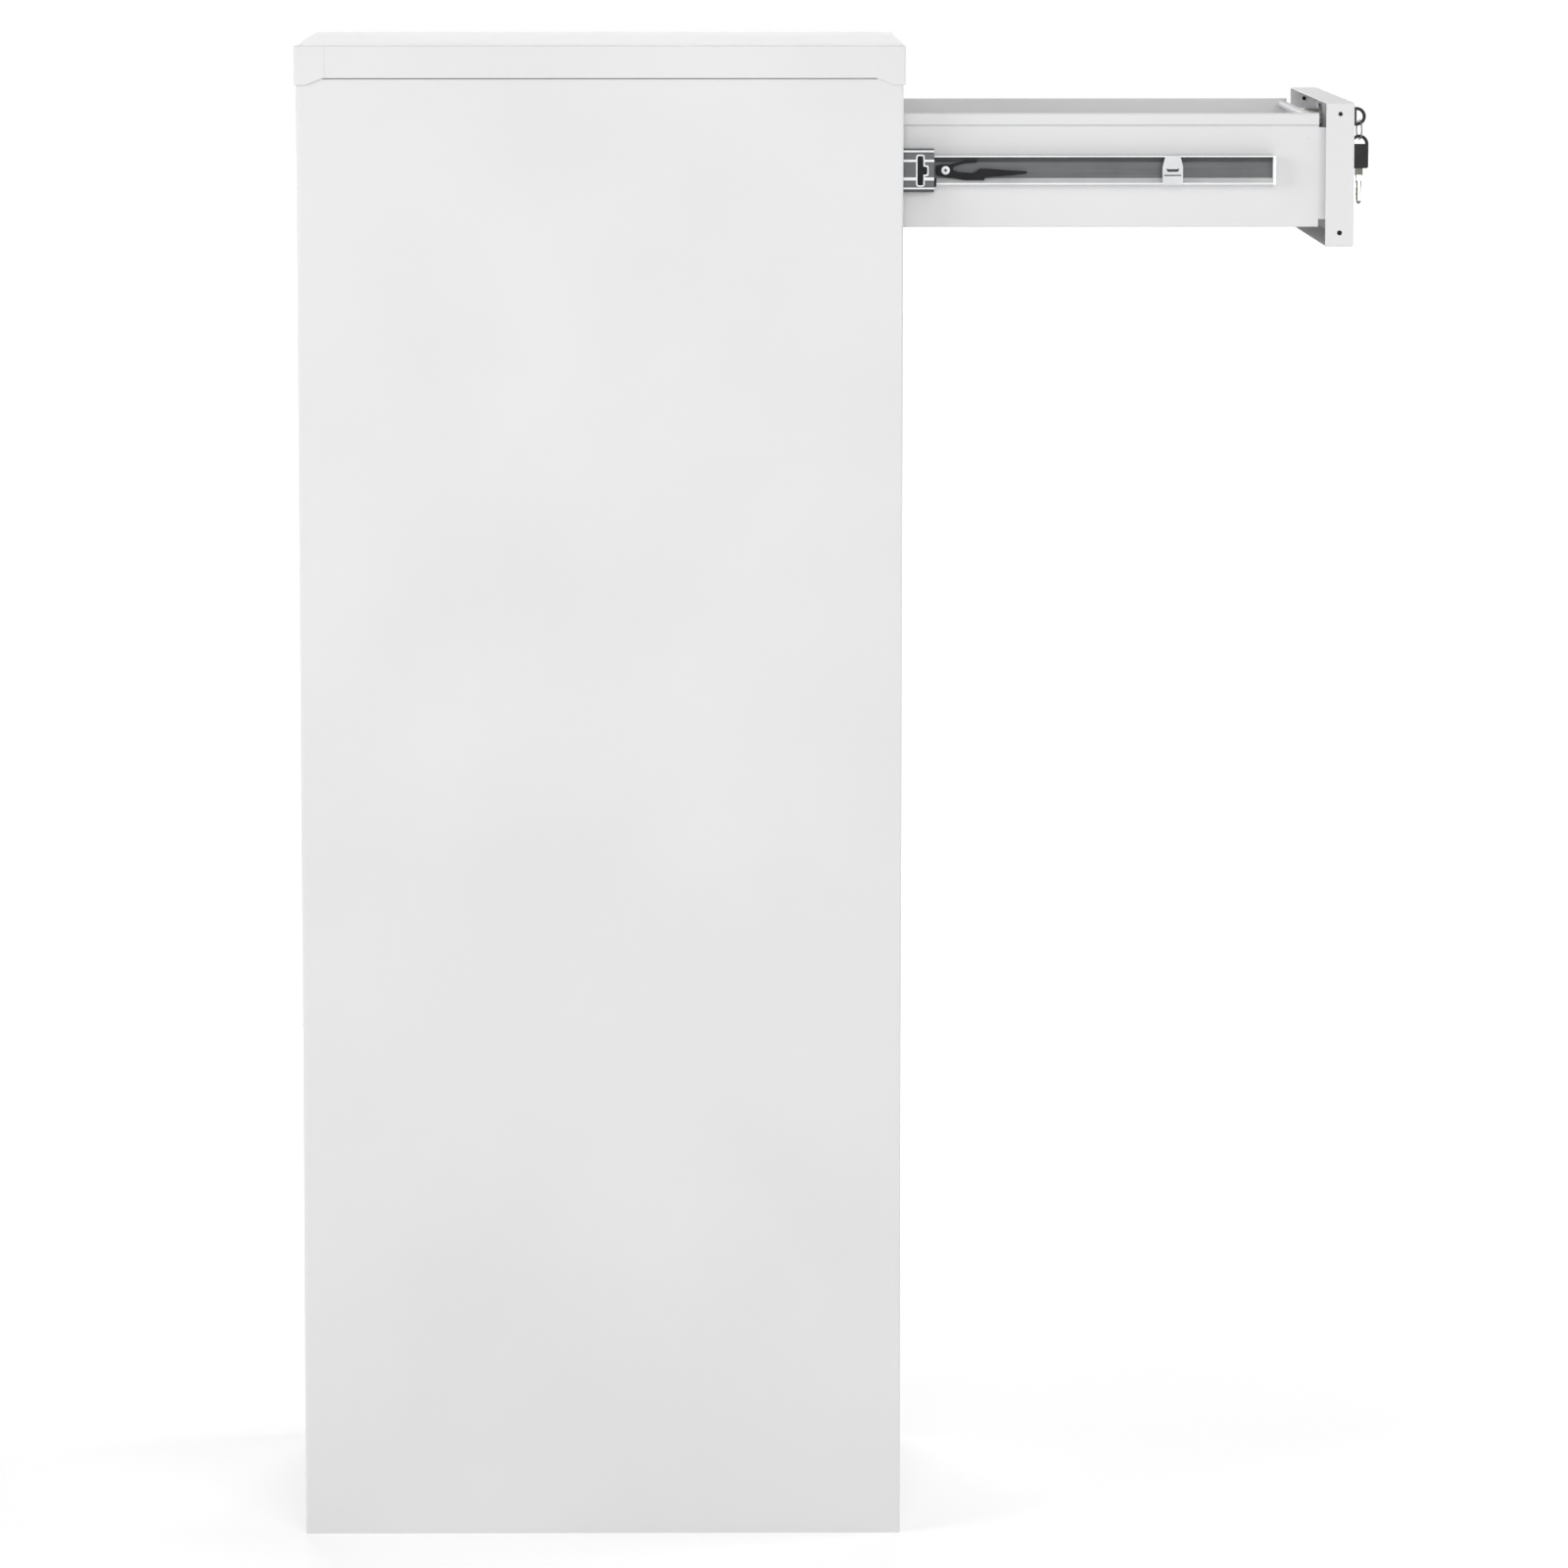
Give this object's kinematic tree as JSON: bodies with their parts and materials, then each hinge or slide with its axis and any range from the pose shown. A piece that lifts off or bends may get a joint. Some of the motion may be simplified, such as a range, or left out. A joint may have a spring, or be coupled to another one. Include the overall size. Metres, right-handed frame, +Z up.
{
  "type": "filing cabinet",
  "caption": "Tall steel filing cabinet: a shallow top drawer over deep file drawers on telescopic slides, recessed pulls; the top drawer stands open with its key in the lock.",
  "frame": {"origin": "on the floor, at the centre of the cabinet shell's footprint", "axes": "+Z up; the drawer fronts face -Y; +X to the right for someone facing the fronts"},
  "size_m": [0.46, 1.1275, 1.54],
  "materials": {
    "body_enamel": "smooth light grey powder coat",
    "drawer_enamel": "smooth light grey powder coat",
    "bare_back": "thin light grey powder coat",
    "zinc_slide": "bright zinc plate",
    "zinc_upright": "dull zinc plate",
    "pull_plastic": "fine moulded grain",
    "lever_plastic": "moulded black plastic",
    "key_plastic": "moulded black plastic",
    "lock_nickel": "nickel plate",
    "key_nickel": "nickel plated brass",
    "cage_steel": "bright steel",
    "glide_plastic": "moulded black plastic"
  },
  "bodies": {
    "cabinet": {"side_panel_left": "body_enamel", "side_panel_right": "body_enamel", "back_panel": "bare_back", "top_cap": "body_enamel", "front_header": "body_enamel", "front_plinth": "body_enamel", "base_pan": "zinc_upright", "levelling_glides": "glide_plastic", "slide_uprights": "zinc_upright", "cross_rails": "body_enamel", "outer_slides": "zinc_slide"},
    "drawer_1_middle": {"drawer_1_middle_slides": "zinc_slide"},
    "drawer_1_outer_cage": {"drawer_1_outer_cages": "cage_steel"},
    "drawer_1_inner_cage": {"drawer_1_inner_cages": "cage_steel"},
    "drawer_1": {"drawer_1_tray": "drawer_enamel", "drawer_1_front": "drawer_enamel", "drawer_1_pull": "pull_plastic", "drawer_1_inner_slides": "zinc_slide", "lock_housing": "lock_nickel", "lock_nut": "lock_nickel"},
    "drawer_1_lever": {"drawer_1_levers": "lever_plastic"},
    "lock_key": {"lock_plug": "lock_nickel", "lock_cam": "lock_nickel", "key_blade": "key_nickel", "key_head": "key_plastic", "key_ring": "key_nickel"},
    "spare_key": {"spare_key_blade": "key_nickel", "spare_key_head": "key_plastic"},
    "drawer_2_middle": {"drawer_2_middle_slides": "zinc_slide"},
    "drawer_2_outer_cage": {"drawer_2_outer_cages": "cage_steel"},
    "drawer_2_inner_cage": {"drawer_2_inner_cages": "cage_steel"},
    "drawer_2": {"drawer_2_tray": "drawer_enamel", "drawer_2_front": "drawer_enamel", "drawer_2_pull": "pull_plastic", "drawer_2_inner_slides": "zinc_slide"},
    "drawer_2_lever": {"drawer_2_levers": "lever_plastic"},
    "drawer_3_middle": {"drawer_3_middle_slides": "zinc_slide"},
    "drawer_3_outer_cage": {"drawer_3_outer_cages": "cage_steel"},
    "drawer_3_inner_cage": {"drawer_3_inner_cages": "cage_steel"},
    "drawer_3": {"drawer_3_tray": "drawer_enamel", "drawer_3_front": "drawer_enamel", "drawer_3_pull": "pull_plastic", "drawer_3_inner_slides": "zinc_slide"},
    "drawer_3_lever": {"drawer_3_levers": "lever_plastic"},
    "drawer_4_middle": {"drawer_4_middle_slides": "zinc_slide"},
    "drawer_4_outer_cage": {"drawer_4_outer_cages": "cage_steel"},
    "drawer_4_inner_cage": {"drawer_4_inner_cages": "cage_steel"},
    "drawer_4": {"drawer_4_tray": "drawer_enamel", "drawer_4_front": "drawer_enamel", "drawer_4_pull": "pull_plastic", "drawer_4_inner_slides": "zinc_slide"},
    "drawer_4_lever": {"drawer_4_levers": "lever_plastic"},
    "drawer_5_middle": {"drawer_5_middle_slides": "zinc_slide"},
    "drawer_5_outer_cage": {"drawer_5_outer_cages": "cage_steel"},
    "drawer_5_inner_cage": {"drawer_5_inner_cages": "cage_steel"},
    "drawer_5": {"drawer_5_tray": "drawer_enamel", "drawer_5_front": "drawer_enamel", "drawer_5_pull": "pull_plastic", "drawer_5_inner_slides": "zinc_slide"},
    "drawer_5_lever": {"drawer_5_levers": "lever_plastic"}
  },
  "joints": [
    {"name": "drawer_1_middle_slide", "type": "slide", "parent": "cabinet", "child": "drawer_1_middle", "axis": [0, -1, 0], "range_m": [-0.114, 0.04]},
    {"name": "drawer_1_slide", "type": "slide", "parent": "drawer_1_middle", "child": "drawer_1", "axis": [0, -1, 0], "range_m": [-0.346, 0]},
    {"name": "drawer_1_outer_cage_roll", "type": "slide", "parent": "cabinet", "child": "drawer_1_outer_cage", "axis": [0, -1, 0], "range_m": [-0.057, 0.02]},
    {"name": "drawer_1_inner_cage_roll", "type": "slide", "parent": "drawer_1_middle", "child": "drawer_1_inner_cage", "axis": [0, -1, 0], "range_m": [-0.173, 0]},
    {"name": "drawer_1_lever_press", "type": "hinge", "parent": "drawer_1", "child": "drawer_1_lever", "pos_m": [0, -0.352, 1.412], "axis": [1, 0, 0], "range_deg": [-3.5, 3.5], "stiffness_Nm_per_rad": 0.3},
    {"name": "drawer_2_middle_slide", "type": "slide", "parent": "cabinet", "child": "drawer_2_middle", "axis": [0, -1, 0], "range_m": [0, 0.154]},
    {"name": "drawer_2_slide", "type": "slide", "parent": "drawer_2_middle", "child": "drawer_2", "axis": [0, -1, 0], "range_m": [0, 0.346]},
    {"name": "drawer_2_outer_cage_roll", "type": "slide", "parent": "cabinet", "child": "drawer_2_outer_cage", "axis": [0, -1, 0], "range_m": [0, 0.077]},
    {"name": "drawer_2_inner_cage_roll", "type": "slide", "parent": "drawer_2_middle", "child": "drawer_2_inner_cage", "axis": [0, -1, 0], "range_m": [0, 0.173]},
    {"name": "drawer_2_lever_press", "type": "hinge", "parent": "drawer_2", "child": "drawer_2_lever", "pos_m": [0, 0.108, 1.1636], "axis": [1, 0, 0], "range_deg": [-3.5, 3.5], "stiffness_Nm_per_rad": 0.3},
    {"name": "drawer_3_middle_slide", "type": "slide", "parent": "cabinet", "child": "drawer_3_middle", "axis": [0, -1, 0], "range_m": [0, 0.154]},
    {"name": "drawer_3_slide", "type": "slide", "parent": "drawer_3_middle", "child": "drawer_3", "axis": [0, -1, 0], "range_m": [0, 0.346]},
    {"name": "drawer_3_outer_cage_roll", "type": "slide", "parent": "cabinet", "child": "drawer_3_outer_cage", "axis": [0, -1, 0], "range_m": [0, 0.077]},
    {"name": "drawer_3_inner_cage_roll", "type": "slide", "parent": "drawer_3_middle", "child": "drawer_3_inner_cage", "axis": [0, -1, 0], "range_m": [0, 0.173]},
    {"name": "drawer_3_lever_press", "type": "hinge", "parent": "drawer_3", "child": "drawer_3_lever", "pos_m": [0, 0.108, 0.8436], "axis": [1, 0, 0], "range_deg": [-3.5, 3.5], "stiffness_Nm_per_rad": 0.3},
    {"name": "drawer_4_middle_slide", "type": "slide", "parent": "cabinet", "child": "drawer_4_middle", "axis": [0, -1, 0], "range_m": [0, 0.154]},
    {"name": "drawer_4_slide", "type": "slide", "parent": "drawer_4_middle", "child": "drawer_4", "axis": [0, -1, 0], "range_m": [0, 0.346]},
    {"name": "drawer_4_outer_cage_roll", "type": "slide", "parent": "cabinet", "child": "drawer_4_outer_cage", "axis": [0, -1, 0], "range_m": [0, 0.077]},
    {"name": "drawer_4_inner_cage_roll", "type": "slide", "parent": "drawer_4_middle", "child": "drawer_4_inner_cage", "axis": [0, -1, 0], "range_m": [0, 0.173]},
    {"name": "drawer_4_lever_press", "type": "hinge", "parent": "drawer_4", "child": "drawer_4_lever", "pos_m": [0, 0.108, 0.5236], "axis": [1, 0, 0], "range_deg": [-3.5, 3.5], "stiffness_Nm_per_rad": 0.3},
    {"name": "drawer_5_middle_slide", "type": "slide", "parent": "cabinet", "child": "drawer_5_middle", "axis": [0, -1, 0], "range_m": [0, 0.154]},
    {"name": "drawer_5_slide", "type": "slide", "parent": "drawer_5_middle", "child": "drawer_5", "axis": [0, -1, 0], "range_m": [0, 0.346]},
    {"name": "drawer_5_outer_cage_roll", "type": "slide", "parent": "cabinet", "child": "drawer_5_outer_cage", "axis": [0, -1, 0], "range_m": [0, 0.077]},
    {"name": "drawer_5_inner_cage_roll", "type": "slide", "parent": "drawer_5_middle", "child": "drawer_5_inner_cage", "axis": [0, -1, 0], "range_m": [0, 0.173]},
    {"name": "drawer_5_lever_press", "type": "hinge", "parent": "drawer_5", "child": "drawer_5_lever", "pos_m": [0, 0.108, 0.2036], "axis": [1, 0, 0], "range_deg": [-3.5, 3.5], "stiffness_Nm_per_rad": 0.3},
    {"name": "lock_turn", "type": "hinge", "parent": "drawer_1", "child": "lock_key", "pos_m": [0.145, -0.768, 1.4525], "axis": [0, -1, 0], "range_deg": [0, 90]},
    {"name": "spare_key_hang", "type": "hinge", "parent": "lock_key", "child": "spare_key", "pos_m": [0.145, -0.8075, 1.43846], "axis": [0, -1, 0], "range_deg": [-90, 0]}
  ],
  "couplings": [
    {"joint": "drawer_1_outer_cage_roll", "follows": "drawer_1_middle_slide", "ratio": 0.5},
    {"joint": "drawer_1_inner_cage_roll", "follows": "drawer_1_slide", "ratio": 0.5},
    {"joint": "drawer_2_outer_cage_roll", "follows": "drawer_2_middle_slide", "ratio": 0.5},
    {"joint": "drawer_2_inner_cage_roll", "follows": "drawer_2_slide", "ratio": 0.5},
    {"joint": "drawer_3_outer_cage_roll", "follows": "drawer_3_middle_slide", "ratio": 0.5},
    {"joint": "drawer_3_inner_cage_roll", "follows": "drawer_3_slide", "ratio": 0.5},
    {"joint": "drawer_4_outer_cage_roll", "follows": "drawer_4_middle_slide", "ratio": 0.5},
    {"joint": "drawer_4_inner_cage_roll", "follows": "drawer_4_slide", "ratio": 0.5},
    {"joint": "drawer_5_outer_cage_roll", "follows": "drawer_5_middle_slide", "ratio": 0.5},
    {"joint": "drawer_5_inner_cage_roll", "follows": "drawer_5_slide", "ratio": 0.5},
    {"joint": "spare_key_hang", "follows": "lock_turn", "ratio": -1}
  ]
}
